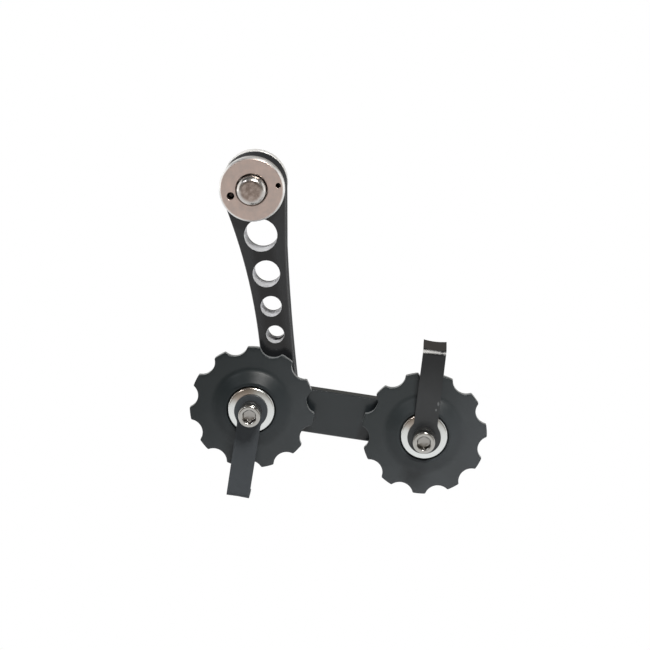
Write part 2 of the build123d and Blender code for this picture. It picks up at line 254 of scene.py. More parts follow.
def turningMarks(radius, perMm, seed):
    # tool marks of a lathe: noise that depends on the radius alone
    return radius.node(
        "ShaderNodeTexNoise", {"noise_dimensions": "1D"},
        {"W": radius + seed, "Scale": perMm,
         "Detail": latheMarks["detail"], "Roughness": latheMarks["roughness"]})


def bump(height, distance):
    # relief of a distance in millimetres
    return height.node(
        "ShaderNodeBump", sockets={"Strength": 1.0, "Distance": distance * mm, "Height": height})


# world: white to the camera; the finishes mirror a white table below and a dim room above it

pureWhite = rgb(1, 1, 1)
roomLook = {
    "table": rgb(0.98, 0.97, 0.96), "wall": rgb(0.30, 0.27, 0.235), "ceiling": rgb(0.10, 0.095, 0.09),
    "tableEdge": (-0.20, -0.02), "wallTop": (0.0, 0.55), "fill": 0.20,
}
world = bpy.data.worlds.new("studio")
scene.world = world
world.use_nodes = True
world.node_tree.nodes.clear()
sky = Wire(world.node_tree)
heading = sky.node("ShaderNodeTexCoord", out="Generated")
climb = axesOf(heading)[2]
upper = climb.step(*roomLook["wallTop"]).blend(roomLook["wall"], roomLook["ceiling"])
toCamera = sky.node("ShaderNodeLightPath", out="Is Camera Ray")
room = sky.node("ShaderNodeBackground", sockets={
    "Color": climb.step(*roomLook["tableEdge"]).blend(roomLook["table"], upper),
    "Strength": 1 - toCamera.other("Is Diffuse Ray") * (1 - roomLook["fill"])})
white = sky.node("ShaderNodeBackground", sockets={"Color": pureWhite})
sky.node("ShaderNodeOutputWorld", sockets={"Surface": toCamera.between(room, white)})

floorLook = {"height": -0.27, "front": -0.5, "back": 5.0, "side": 3.0, "color": rgb(0.86, 0.86, 0.86)}
floorMesh = bpy.data.meshes.new("floor")
side, front, back, height = (floorLook[key] for key in ("side", "front", "back", "height"))
floorMesh.from_pydata(
    [(-side, front, height), (side, front, height), (side, back, height), (-side, back, height)],
    [], [(0, 1, 2, 3)])
floor = bpy.data.objects.new("floor", floorMesh)
scene.collection.objects.link(floor)
floorPaint, ground, _ = startPaint("paleFloor")
path = ground.node("ShaderNodeLightPath", out="Is Camera Ray")
seen = path + path.other("Is Glossy Ray") + path.other("Is Transmission Ray")
lit = ground.node("ShaderNodeBsdfDiffuse", sockets={"Color": floorLook["color"]})
glow = ground.node("ShaderNodeEmission", sockets={"Color": pureWhite, "Strength": 1.0})
closePaint(ground, seen.between(lit, glow))
floorMesh.materials.append(floorPaint)
print("studio built")


# finishes: steps are in millimetres, from the pivot unless the function says from where

armLook = {
    "black": rgb(0.011, 0.012, 0.0135), "faded": rgb(0.015, 0.016, 0.0175),
    "bar": rgb(0.018, 0.0225, 0.025), "web": rgb(0.002, 0.002, 0.0025),
    "roughness": 0.22, "sway": 0.06, "specular": 0.44,
    "cloud": 0.12, "grain": (6.0, 2.0), "relief": 0.004,
    "side": rgb(0.021, 0.0225, 0.0245), "sideRoughness": 0.6, "sideSpecular": 0.05,
    "frontEdge": (3.85, 4.1), "backEdge": (12.55, 12.7),
    "barTop": (-64.0, -61.0), "barStart": (17.0, 18.0), "barBack": (7.3, 7.6),
    "webShadeReach": (2.2, 5.0), "webShadeHeight": (-57.0, -54.0),
    "bare": rgb(0.63, 0.64, 0.665), "bareMetal": 0.2, "bareRougher": 0.22, "bareDepth": (12.1, 12.4),
    "windows": (11.2, 9.25, 7.15, 6.15), "windowSlack": 0.04,
    "windowLine": 0.5, "windowLean": 7.8, "windowStart": 10.8, "windowWeb": 3.25,
    "darkPatchFront": (7.4, 8.2), "darkPatchBack": (10.4, 11.2), "darkPatchSide": (-1.4, 0.0),
}


def armWindows():
    # middle and radius of each window, one web apart on a line that leans away from the pivot
    lean = math.radians(armLook["windowLean"])
    reach = armLook["windowStart"]
    for diameter in armLook["windows"]:
        reach += diameter / 2
        x, z = armLook["windowLine"] + reach * math.sin(lean), -reach * math.cos(lean)
        yield (x, 0.0, z), diameter / 2
        reach += diameter / 2 + armLook["windowWeb"]


def paintArm():
    # black anodise, satin in front, with painted shade darkening the webs between the windows, and dull on
    # the sides;
    # the walls of the windows are bare metal, except a dark patch in the last one that keeps the black coat
    look = armLook
    material, start, place = startPaint("blackAnodised")
    across, depth, height = axesOf(place)
    cloud = noise(place, look["cloud"])
    grain = noise(place, *look["grain"])
    windows = list(armWindows())
    insides = [radiusFrom(place, middle) < radius + look["windowSlack"] for middle, radius in windows]
    lastMiddle, _ = windows[-1]
    # on the right half of the last window's wall, over a band of depth, the wall keeps the black coat
    # instead of bare metal
    darkPatch = depth.step(*look["darkPatchFront"]) * (1 - depth.step(*look["darkPatchBack"]))
    darkPatch = darkPatch * insides[-1] * (across - lastMiddle[0]).step(*look["darkPatchSide"])
    bare = sum(insides) * (1 - depth.step(*look["bareDepth"])) * (1 - darkPatch)
    belowTop = 1 - height.step(*look["barTop"])
    onBar = belowTop * across.step(*look["barStart"])
    low, high = look["barBack"]
    barBack = (depth > low) * (depth < high) * belowTop
    dull = depth.step(*look["frontEdge"]) * (1 - depth.step(*look["backEdge"]))
    dull = dull * (1 - onBar) * (1 - barBack) * (1 - bare)
    lean = math.radians(look["windowLean"])
    offLine = (across + height * math.tan(lean) - look["windowLine"]) * math.cos(lean)
    # painted shade: the webs along the window line are painted near black
    web = (1 - abs(offLine).step(*look["webShadeReach"])) * height.step(*look["webShadeHeight"])
    upright = web.blend(cloud.blend(look["black"], look["faded"]), look["web"])
    coat = onBar.blend(upright, look["bar"])
    relief = bump(grain, look["relief"])
    satin = coatOf(start, {
        "Base Color": bare.blend(coat, look["bare"]),
        "Metallic": bare * look["bareMetal"],
        "Roughness": grain.sway(look["roughness"], look["sway"]) + bare * look["bareRougher"],
        "Specular IOR Level": look["specular"],
        "Normal": relief,
    })
    flat = coatOf(start, {
        "Base Color": look["side"],
        "Roughness": look["sideRoughness"],
        "Specular IOR Level": look["sideSpecular"],
        "Normal": relief,
    })
    closePaint(start, dull.between(satin, flat))
    return material


discLook = {
    "pinkReflection": rgb(0.64, 0.495, 0.435), "grey": rgb(0.44, 0.385, 0.36), "rim": rgb(0.72, 0.72, 0.71),
    "rimRadius": (10.35, 10.75), "rimRagged": 0.5, "rimDuller": 0.25,
    "roughness": 0.34, "sway": 0.16, "cloud": (0.35, 4.0, 0.6), "marks": (4.0, 40.0), "relief": 0.014,
    "ringShare": 0.7, "cloudShare": 1.4, "greyShare": 0.55,
}


def paintDisc():
    # nickel plate mottled grey and pink over the turning marks, the pink a painted reflection of a warm
    # room, and bare bright metal on the rolled rim
    look = discLook
    material, start, place = startPaint("turnedNickel")
    radius = radiusFrom(place, pivot)
    rings = turningMarks(radius, *look["marks"])
    cloud = noise(place, *look["cloud"])
    rim = (radius + cloud.sway(0, look["rimRagged"])).step(*look["rimRadius"])
    # the pink end of this mix is a painted reflection of a warm room
    tone = rings * look["ringShare"] + cloud * look["cloudShare"] - look["greyShare"]
    closePaint(start, coatOf(start, {
        "Base Color": rim.blend(tone.blend(look["grey"], look["pinkReflection"]), look["rim"]),
        "Metallic": 1 - rim * look["rimDuller"],
        "Roughness": rings.sway(look["roughness"], look["sway"]),
        "Normal": bump(rings * (1 - rim), look["relief"]),
    }))
    return material


hangerBoltLook = {
    "face": rgb(0.47, 0.395, 0.355), "stainAndReflection": rgb(0.20, 0.15, 0.125), "bright": rgb(0.56, 0.545, 0.525),
    "faceRadius": (2.9, 4.5), "faceDepth": (-2.5, -2.0), "contrast": 2.6, "stainShare": 0.85,
    "roughness": 0.24, "sway": 0.16, "cloud": (0.55, 4.0, 0.65), "marks": (2.2, 7.0), "relief": 0.02,
    "ringShare": 0.5, "cloudShare": 0.8,
}


def paintHangerBolt():
    # bright plate, with a stained brownish end face that shows the marks of its turning
    look = hangerBoltLook
    material, start, place = startPaint("platedBolt")
    radius = radiusFrom(place, pivot)
    depth = axesOf(place)[1]
    rings = turningMarks(radius, *look["marks"])
    cloud = noise(place, *look["cloud"])
    face = (1 - radius.step(*look["faceRadius"])) * (1 - depth.step(*look["faceDepth"]))
    stained = (cloud * look["contrast"] - look["stainShare"]).blend(look["stainAndReflection"], look["face"])
    closePaint(start, coatOf(start, {
        "Base Color": face.blend(look["bright"], stained),
        "Metallic": 1.0,
        "Roughness": cloud.sway(look["roughness"], look["sway"]),
        "Normal": bump(rings * look["ringShare"] + cloud * look["cloudShare"], look["relief"]),
    }))
    return material


axleBoltLook = {
    "plate": rgb(0.43, 0.422, 0.402), "wall": rgb(0.13, 0.12, 0.105), "floor": rgb(0.34, 0.33, 0.315),
    "socketRadius": (2.42, 2.55), "shadedWallDepth": (0.12, 0.3), "shadedFloorDepth": (2.35, 2.5),
    "roughness": 0.20, "sway": 0.14, "cloud": (1.1, 4.0, 0.6), "relief": 0.012,
}


def paintAxleBolt(station):
    # bright plate, with the walls and the floor of the socket painted darker as shade in the recess; depth
    # is from the head's face
    look, axle = axleBoltLook, axles[station]
    material, start, place = startPaint(station + "AxleBoltPlate")
    front, _ = endsOf(station + "_axle_bolt")
    radius = radiusFrom(place, axle)
    depth = axesOf(place)[1] - front
    cloud = noise(place, *look["cloud"])
    inside = 1 - radius.step(*look["socketRadius"])
    # painted shade: the socket's walls and floor are painted darker than the plate
    wall = inside * depth.step(*look["shadedWallDepth"])
    shadedFloor = inside * depth.step(*look["shadedFloorDepth"])
    closePaint(start, coatOf(start, {
        "Base Color": shadedFloor.blend(wall.blend(look["plate"], look["wall"]), look["floor"]),
        "Metallic": 1.0,
        "Roughness": cloud.sway(look["roughness"], look["sway"]),
        "Normal": bump(cloud, look["relief"]),
    }))
    return material


plasticLook = {
    "guide": (rgb(0.010, 0.014, 0.0155), rgb(0.034, 0.0395, 0.043)),  # plain plastic, then the same plastic painted paler as painted light
    # the tension wheel's colours are painted paler than the guide wheel's, as painted light on the same
    # plastic
    "tension": (rgb(0.022, 0.027, 0.029), rgb(0.048, 0.054, 0.059)),
    "dust": (-26.0, 26.0), "ragged": 16.0,  # painted light, paler from the upper left to the lower right
    "edge": rgb(0.20, 0.21, 0.215), "highlightDepth": (0.75, 0.98), "highlightRadius": (18.0, 18.6),
    "coneRadius": (11.6, 15.0), "coneSpecular": 0.20, "coneRougher": 0.10,
    "specular": 0.36, "roughness": 0.30, "sway": 0.10, "cloud": 0.15, "marks": (2.5, 40.0), "relief": 0.014,
}


def paintPulley(station):
    # moulded plastic with faint turned rings, duller on the cone, painted paler towards the lower right and
    # on the tension wheel as painted light, with a painted highlight on the edges of the teeth; all
    # distances are from the middle of the wheel
    look, axle = plasticLook, axles[station]
    material, start, place = startPaint(station + "PulleyPlastic")
    radius = radiusFrom(place, axle)
    across, depth, height = axesOf(place)
    lowRight = across - height - (axle[0] - axle[2])
    rings = turningMarks(radius, *look["marks"])
    cloud = noise(place, look["cloud"])
    away = abs(depth - axle[1])
    # painted highlight: the rim faces of the teeth are painted pale
    edge = radius.step(*look["highlightRadius"]) * (1 - away.step(*look["highlightDepth"]))
    cone = 1 - radius.step(*look["coneRadius"])
    # painted light: the plastic is painted paler towards the lower right
    paintedLightShare = (lowRight + cloud.sway(0, look["ragged"])).step(*look["dust"])
    coat = {
        "Base Color": edge.blend(paintedLightShare.blend(*look[station]), look["edge"]),
        "Roughness": rings.sway(look["roughness"], look["sway"]) + cone * look["coneRougher"],
        "Normal": bump(rings, look["relief"]),
    }
    teeth = coatOf(start, {**coat, "Specular IOR Level": look["specular"]})
    hub = coatOf(start, {**coat, "Specular IOR Level": look["coneSpecular"]})
    closePaint(start, cone.between(teeth, hub))
    return material


guardLook = {
    "guide": {
        "eye": rgb(0.054, 0.060, 0.066), "bend": rgb(0.060, 0.067, 0.074),
        "roughness": 0.42, "specular": 0.10, "bendGlint": 0.0, "nicks": ()},
    # the tension guard's coat is painted darker than the guide guard's, as painted shade on the same part
    "tension": {
        "eye": rgb(0.026, 0.028, 0.030), "bend": rgb(0.006, 0.007, 0.008),
        "roughness": 0.30, "specular": 0.40, "bendGlint": 0.34,
        "nicks": ((4.7, 12.0, 0.85), (3.95, 9.85, 0.5))},  # across, up and half length
    "fade": (12.0, 28.0), "ragged": 4.0, "cloud": 0.25, "sway": 0.08, "grain": (3.0, 2.0), "relief": 0.0012,
    "nickWidth": 0.4, "nickEdge": (0.3, 1.0), "nickColor": rgb(0.12, 0.125, 0.13),
    "glintColor": rgb(0.8, 0.8, 0.79), "glintReach": (29.45, 29.95), "glintDepth": (0.6, 1.0), "glintRougher": 0.6,
    "glintLean": 6.5, "glintFade": (-3.6, 3.2), "fadeShare": 0.5, "glintGap": (1.9, 2.9), "gapShare": 0.8,
}


def paintGuard(station):
    # black coat, nicked, whose colour changes from the eye to the bend as painted shade, with a painted
    # highlight along the bend as pale bare metal;
    # distances are from the axle, depth is from the sheet's face
    look, own, axle = guardLook, guardLook[station], axles[station]
    material, start, place = startPaint(station + "GuardCoat")
    front, _ = endsOf(station + "_chain_guard")
    x, y, z = axesOf(place)
    across, depth, up = x - axle[0], y - front, z - axle[2]
    reach = radiusFrom(place, axle)
    cloud = noise(place, look["cloud"])
    # painted shade: the coat darkens towards the bend on the tension guard and lightens a little on the
    # guide guard
    coat = (reach + cloud.sway(0, look["ragged"])).step(*look["fade"]).blend(own["eye"], own["bend"])
    for nickAcross, nickUp, length in own["nicks"]:
        nick = ((across - nickAcross) / look["nickWidth"]) ** 2 + ((up - nickUp) / length) ** 2
        coat = (1 - nick.step(*look["nickEdge"])).blend(coat, look["nickColor"])
    lean = math.radians(look["glintLean"])
    sideways = across * math.cos(lean) - up * math.sin(lean)
    low, high = look["glintGap"]
    # painted highlight: a pale metallic line along the outer bend, fading and broken near one side
    bendGlint = reach.step(*look["glintReach"]) * (1 - depth.step(*look["glintDepth"])) * own["bendGlint"]
    bendGlint = bendGlint * (1 - sideways.step(*look["glintFade"]) * look["fadeShare"])
    bendGlint = bendGlint * (1 - (sideways > low) * (sideways < high) * look["gapShare"])
    closePaint(start, coatOf(start, {
        "Base Color": bendGlint.blend(coat, look["glintColor"]),
        "Metallic": bendGlint,
        "Roughness": cloud.sway(own["roughness"], look["sway"]) + bendGlint * look["glintRougher"],
        "Specular IOR Level": own["specular"],
        "Normal": bump(noise(place, *look["grain"]), look["relief"]),
    }))
    return material


def turnedTone(place, radius, look):
    # marks of the lathe, and the metal's colour, dim between the marks and in soft clouds
    rings = turningMarks(radius, *look["marks"])
    share = rings * look["ringShare"] + noise(place, look["cloud"]) * look["cloudShare"]
    return rings, share.blend(look["dim"], look["bright"])


capLook = {
    "bright": rgb(0.84, 0.84, 0.83), "dim": rgb(0.7224, 0.7224, 0.7138),
    "metallic": 0.25, "roughness": 0.5, "sway": 0.12,
    "cloud": 0.3, "marks": (3.0, 40.0), "ringShare": 0.6, "cloudShare": 0.4, "relief": 0.002,
}


def paintCap():
    # pale turned plate, with rings about the pivot
    look = capLook
    material, start, place = startPaint("brightCap")
    rings, metal = turnedTone(place, radiusFrom(place, pivot), look)
    closePaint(start, coatOf(start, {
        "Base Color": metal,
        "Metallic": look["metallic"],
        "Roughness": rings.sway(look["roughness"], look["sway"]),
        "Normal": bump(rings, look["relief"]),
    }))
    return material


alloyLook = {
    "bright": rgb(0.77, 0.79, 0.78), "dim": rgb(0.66, 0.68, 0.67), "roughness": 0.23, "sway": 0.12,
    "stainAndReflection": rgb(0.44, 0.38, 0.33), "reflectionSide": (-0.42, 0.91), "reflectionReach": (0.62, 1.0),
    "cloud": 0.3, "marks": (4.0, 40.0), "ringShare": 0.6, "cloudShare": 0.4, "relief": 0.002,
}


def paintAlloy(station):
    # bright turned alloy, with a warm painted reflection towards one side of the axle
    look, axle = alloyLook, axles[station]
    material, start, place = startPaint(station + "CapAlloy")
    radius = radiusFrom(place, axle)
    across, _, height = axesOf(place)
    x, z = look["reflectionSide"]
    towards = ((across - axle[0]) * x + (height - axle[2]) * z) / radius
    rings, metal = turnedTone(place, radius, look)
    closePaint(start, coatOf(start, {
        # painted reflection: a warm brown tint towards one side of the axle
        "Base Color": towards.step(*look["reflectionReach"]).blend(metal, look["stainAndReflection"]),
        "Metallic": 1.0,
        "Roughness": rings.sway(look["roughness"], look["sway"]),
        "Normal": bump(rings, look["relief"]),
    }))
    return material


evenLook = {"cloud": 0.25, "dim": 0.8, "sway": 0.08, "grainDetail": 2.0, "metallic": 0.0, "specular": 0.5}
plainLooks = {  # each adds to the even look
    "groundSteel": {
        "color": rgb(0.56, 0.56, 0.57), "roughness": 0.25, "grain": 4.0, "relief": 0.002, "metallic": 1.0},
    "springWire": {
        "color": rgb(0.035, 0.032, 0.03), "roughness": 0.50, "grain": 3.0, "relief": 0.003,
        "metallic": 0.5, "specular": 0.3},
    "bushBronze": {
        "color": rgb(0.58, 0.40, 0.20), "roughness": 0.45, "grain": 5.0, "relief": 0.006, "metallic": 1.0},
    "washerPlastic": {"color": rgb(0.05, 0.05, 0.05), "roughness": 0.5, "grain": 4.0, "relief": 0.003},
    "cagePlastic": {"color": rgb(0.45, 0.32, 0.16), "roughness": 0.45, "grain": 4.0, "relief": 0.003},
    "spacerBlack": {"color": rgb(0.03, 0.03, 0.03), "roughness": 0.30, "grain": 5.0, "relief": 0.002},
}


def paintPlain(name):
    # even finish with a fine grain, dimmed in soft clouds
    look = {**evenLook, **plainLooks[name]}
    material, start, place = startPaint(name)
    cloud = noise(place, look["cloud"])
    grain = noise(place, look["grain"], look["grainDetail"])
    dim = rgb(*(look["dim"] * channel for channel in look["color"][:3]))
    closePaint(start, coatOf(start, {
        "Base Color": cloud.blend(dim, look["color"]),
        "Metallic": look["metallic"],
        "Roughness": cloud.sway(look["roughness"], look["sway"]),
        "Specular IOR Level": look["specular"],
        "Normal": bump(grain, look["relief"]),
    }))
    return material


paints = {
    "arm": paintArm(), "nickel": paintDisc(), "cap": paintCap(), "bolt": paintHangerBolt(),
    "steel": paintPlain("groundSteel"), "spring": paintPlain("springWire"),
    "bronze": paintPlain("bushBronze"), "washer": paintPlain("washerPlastic"),
    "cage": paintPlain("cagePlastic"), "spacer": paintPlain("spacerBlack"),
}
for station in stations:
    paints[station + "Plastic"] = paintPulley(station)
    paints[station + "Guard"] = paintGuard(station)
    paints[station + "Bolt"] = paintAxleBolt(station)
    paints[station + "Alloy"] = paintAlloy(station)

finishes = {
    "arm": "arm", "stop_disc": "nickel", "outer_cap": "cap", "hanger_bolt": "bolt",
    "thrust_washer": "washer", "pivot_bush": "bronze", "stop_pin": "steel", "torsion_spring": "spring",
}
for station in stations:
    finishes.update({
        station + "_pulley": station + "Plastic", station + "_outer_race": "steel",
        station + "_inner_race": "steel", station + "_bearing_balls": "steel",
        station + "_bearing_cage": "cage", station + "_rear_dust_cap": station + "Alloy",
        station + "_front_dust_cap": station + "Alloy", station + "_axle_bolt": station + "Bolt",
        station + "_spacer": "spacer", station + "_chain_guard": station + "Guard",
    })
for name, finish in finishes.items():
    mesh = nodes[name].data
    mesh.materials.clear()
    mesh.materials.append(paints[finish])
print("finishes on", len(finishes), "CAD nodes")


# pieces with softer edges and finer detail than their CAD nodes

bodyOf = {node: body for body, members in frame["record"]["behaviour"]["bodies"].items() for node in members}
weave = {"merge": 1e-7, "sharpAngle": 35, "cornerSteps": 4}


def standFor(piece, node, winds=None):
    # the piece stands for a CAD node, on the same body and with the same finish; one that winds only has
    # its place baked into its mesh and joins no body, and the two depths it carries are not used
    scene.collection.objects.link(piece)
    piece.data.materials.clear()
    piece.data.materials.append(paints[finishes[node]])
    if winds:
        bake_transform(piece)
    else:
        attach(piece, bodyOf[node])
    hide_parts(node)


def wovenPiece(name, points, node, loopRows, winds=None):
    # closed surface from a grid of points in millimetres: rows run along the section, columns round the axis
    rows, columns = points.shape[:2]
    index = np.arange(rows * columns).reshape(rows, columns)
    upper = index if loopRows else index[:-1]
    lower = np.roll(index, -1, axis=0) if loopRows else index[1:]
    cells = np.stack((upper, np.roll(upper, -1, axis=1), np.roll(lower, -1, axis=1), lower), axis=-1)
    mesh = bpy.data.meshes.new(name)
    mesh.from_pydata((points.reshape(-1, 3) * mm).tolist(), [], cells.reshape(-1, 4).tolist())
    work = bmesh.new()
    work.from_mesh(mesh)
    bmesh.ops.remove_doubles(work, verts=work.verts, dist=weave["merge"])
    bmesh.ops.recalc_face_normals(work, faces=work.faces)
    work.to_mesh(mesh)
    work.free()
    mesh.shade_smooth()
    mesh.set_sharp_from_angle(angle=math.radians(weave["sharpAngle"]))
    standFor(bpy.data.objects.new(name, mesh), node, winds)


def quadratic(start, corner, end, t):
    # start (1-t)^2 + 2 corner t(1-t) + end t^2
    return start * (1 - t) ** 2 + 2 * corner * t * (1 - t) + end * t ** 2


def softSection(corners):
    # each corner (radius, depth, hex share, ease) turns into a quadratic curve between two points on its
    # sides, one ease away from it
    corners = np.array(corners, float)
    spot, ease = corners[:, :3], corners[:, 3:]
    before, after = np.roll(spot, 1, axis=0) - spot, np.roll(spot, -1, axis=0) - spot
    start = spot + before * ease / np.linalg.norm(before[:, :2], axis=1, keepdims=True)
    end = spot + after * ease / np.linalg.norm(after[:, :2], axis=1, keepdims=True)
    t = np.linspace(0, 1, weave["cornerSteps"] + 1)[None, :, None]
    return quadratic(start[:, None], spot[:, None], end[:, None], t).reshape(-1, 3)


def roundAxis(count):
    # angles of so many even steps once round an axis
    return np.arange(count) * 2 * np.pi / count


def spun(section, angle):
    # radius of the section at every angle; the hex share pulls it out to a hexagon of that half width
    hexagon = 1 / np.cos((angle + np.pi / 6) % (np.pi / 3) - np.pi / 6)
    return section[:, :1] * (1 + section[:, 2:] * (hexagon - 1))


def aroundAxle(radius, angle, depth, axle):
    # x and z are the radius turned about the axle, y is the depth
    return np.stack(np.broadcast_arrays(
        axle[0] + radius * np.cos(angle), depth, axle[2] + radius * np.sin(angle)), axis=-1)


def turnedPiece(name, section, columns, axle, node, loopRows):
    # the section carried round the axle
    angle = roundAxis(columns)
    wovenPiece(name, aroundAxle(spun(section, angle), angle, section[:, 1:2], axle), node, loopRows)


pulleyShape = {
    "teeth": 11, "tip": 21.4, "notchReach": 23.45, "notch": 4.6, "corner": 0.5,
    "phase": {"guide": -26.7, "tension": -12.6},
    "tipPoints": 9, "cornerPoints": 7, "notchPoints": 13,
    "seat": 8.0, "halfSeat": 2.5, "seatEase": 0.05, "recess": 8.45, "recessEase": 0.15,
    "hub": 9.4, "halfHub": 3.9, "hubEase": 0.30, "cone": 13.7, "coneEase": 0.9,
    "web": 14.9, "spread": (0.35, 0.7), "halfTooth": 1.15, "toothEase": 0.28, "edgePoints": 5,
}


def toothOutline(shape):
    # one notch as three arcs, tip circle, corner round and notch circle, mirrored and turned round the axle
    half = np.pi / shape["teeth"]
    inner, wide = shape["tip"] - shape["corner"], shape["notch"] + shape["corner"]
    lean = np.arccos((inner ** 2 + shape["notchReach"] ** 2 - wide ** 2) / (2 * inner * shape["notchReach"]))
    middle = inner * np.exp(1j * lean)
    aim = np.angle(middle - shape["notchReach"])
    onTip = shape["tip"] * np.exp(1j * np.linspace(half, lean, shape["tipPoints"])[:-1])
    cornerTurn = np.linspace(lean, aim - np.pi, shape["cornerPoints"])[:-1]
    onCorner = middle + shape["corner"] * np.exp(1j * cornerTurn)
    notchTurn = np.linspace(aim, np.pi, shape["notchPoints"])
    inNotch = shape["notchReach"] + shape["notch"] * np.exp(1j * notchTurn)
    side = np.concatenate((onTip, onCorner, inNotch))
    notch = np.concatenate((side, np.conj(side[::-1])[1:-1]))
    turns = np.exp(-2j * half * np.arange(shape["teeth"]))
    return (turns[:, None] * notch).ravel()


def pulleyWheel(station):
    # section from the bearing seat over hub and cone, then rows that spread from the web to the tooth
    # outline and round its edge: radius = base (1 - share) + (edge - inset) share; the back mirrors it
    shape, axle = pulleyShape, axles[station]
    outline = toothOutline(shape) * np.exp(1j * math.radians(shape["phase"][station]))
    edge, angle = np.abs(outline), np.angle(outline)
    ease, halfTooth, spread = shape["toothEase"], shape["halfTooth"], shape["spread"]
    hub = softSection([
        (shape["seat"], 0, 0, 0),
        (shape["seat"], shape["halfSeat"], 0, shape["seatEase"]),
        (shape["recess"], shape["halfSeat"], 0, shape["seatEase"]),
        (shape["recess"], shape["halfHub"], 0, shape["recessEase"]),
        (shape["hub"], shape["halfHub"], 0, shape["hubEase"]),
        (shape["cone"], halfTooth, 0, shape["coneEase"]),
        (shape["web"], halfTooth, 0, 0),
    ])
    bend = np.linspace(0, np.pi / 2, shape["edgePoints"])
    onWeb = np.full(len(spread), halfTooth)
    share = np.concatenate((np.zeros(len(hub)), spread, np.ones(len(bend) + 1)))
    base = np.concatenate((hub[:, 0], np.full(len(share) - len(hub), shape["web"])))
    inset = np.concatenate((np.zeros(len(hub) + len(spread)), ease * (1 - np.sin(bend)), [0]))
    depth = np.concatenate((hub[:, 1], onWeb, halfTooth - ease * (1 - np.cos(bend)), [0]))
    radius = base[:, None] * (1 - share[:, None]) + share[:, None] * (edge - inset[:, None])
    radius = np.concatenate((radius, radius[-2:0:-1]))
    depth = np.concatenate((depth, -depth[-2:0:-1]))
    points = aroundAxle(radius, angle, axle[1] + depth[:, None], axle)
    wovenPiece(station + "PulleyWheel", points, station + "_pulley", True)


frontCapShape = {
    "bore": 2.5, "boreEase": 0.1, "boss": 3.9, "bossEase": 0.1, "contact": -2.5, "bossEnd": -3.2,
    "rim": 8.1, "backEase": 0.15, "edge": 0.5, "edgeEase": 0.25,
    "face": -4.4, "fall": 0.25, "flat": 5.7, "flatEase": 0.8, "columns": 160,
}


def frontCap(station):
    # turned cap: boss on the inner race, thin disc with a rounded rim, face that slopes back to the rim;
    # depths are from the middle of the bearing
    shape, axle, node = frontCapShape, axles[station], station + "_front_dust_cap"
    slopeEnd = shape["face"] + shape["fall"]
    section = softSection([
        (shape["bore"], shape["contact"], 0, 0),
        (shape["boss"], shape["contact"], 0, shape["bossEase"]),
        (shape["boss"], shape["bossEnd"], 0, shape["bossEase"]),
        (shape["rim"], shape["bossEnd"], 0, shape["backEase"]),
        (shape["rim"], slopeEnd + shape["edge"], 0, shape["edgeEase"]),
        (shape["rim"] - shape["edge"], slopeEnd, 0, shape["edgeEase"]),
        (shape["flat"], shape["face"], 0, shape["flatEase"]),
        (shape["bore"], shape["face"], 0, shape["boreEase"]),
    ])
    turnedPiece(station + "FrontCap", section + (0, axle[1], 0), shape["columns"], axle, node, True)


axleBoltShape = {
    "shank": 2.45, "tipEase": 0.35, "neckEase": 0.1,
    "head": 3.8, "headHeight": 4.25, "backEase": 0.2, "headEase": 0.55,
    "mouth": 2.5, "mouthDepth": 0.4, "mouthEase": 0.15,
    "socket": 2.05, "socketDepth": 2.6, "socketEase": 0.1, "floorEase": 0.2, "floorDrop": 0.2,
    "columns": 144,
}


def axleBolt(station):
    # turned bolt whose socket goes from a round mouth to a hexagon
    shape, axle, node = axleBoltShape, axles[station], station + "_axle_bolt"
    front, rear = endsOf(node)
    section = softSection([
        (0, rear, 0, 0),
        (shape["shank"], rear, 0, shape["tipEase"]),
        (shape["shank"], front + shape["headHeight"], 0, shape["neckEase"]),
        (shape["head"], front + shape["headHeight"], 0, shape["backEase"]),
        (shape["head"], front, 0, shape["headEase"]),
        (shape["mouth"], front, 0, shape["mouthEase"]),
        (shape["socket"], front + shape["mouthDepth"], 1, shape["socketEase"]),
        (shape["socket"], front + shape["socketDepth"], 1, shape["floorEase"]),
        (0, front + shape["socketDepth"] + shape["floorDrop"], 1, 0),
    ])
    turnedPiece(station + "AxleBolt", section, shape["columns"], axle, node, False)


spacerShape = {"bore": 2.55, "boreEase": 0.1, "rim": 3.85, "rimEase": 0.2, "columns": 96}


def spacer(station):
    # plain ring with rounded edges
    shape, axle, node = spacerShape, axles[station], station + "_spacer"
    front, rear = endsOf(node)
    section = softSection([
        (shape["bore"], rear, 0, shape["boreEase"]),
        (shape["rim"], rear, 0, shape["rimEase"]),
        (shape["rim"], front, 0, shape["rimEase"]),
        (shape["bore"], front, 0, shape["boreEase"]),
    ])
    turnedPiece(station + "Spacer", section, shape["columns"], axle, node, True)


for station in stations:
    pulleyWheel(station)
    frontCap(station)
    axleBolt(station)
    spacer(station)
print("pulley stations dressed")


hangerBoltShape = {
    "tipFace": 3.7, "tipLength": 1.15, "tipEase": 0.75, "shank": 4.9, "shoulderEase": 0.25,
    "thread": (1.6, 15.0), "threadRows": 160, "threadDepth": 0.5, "pitch": 1.0, "runOut": 0.2,
    "head": 7.7, "headHeight": 4.97, "neckEase": 0.3, "headEase": 0.6,
    "mouth": 3.7, "mouthDepth": 0.5, "mouthEase": 0.2,
    "socket": 3.0, "socketDepth": 4.5, "socketEase": 0.15, "floorEase": 0.2, "floorDrop": 0.3,
    "columns": 144,
}


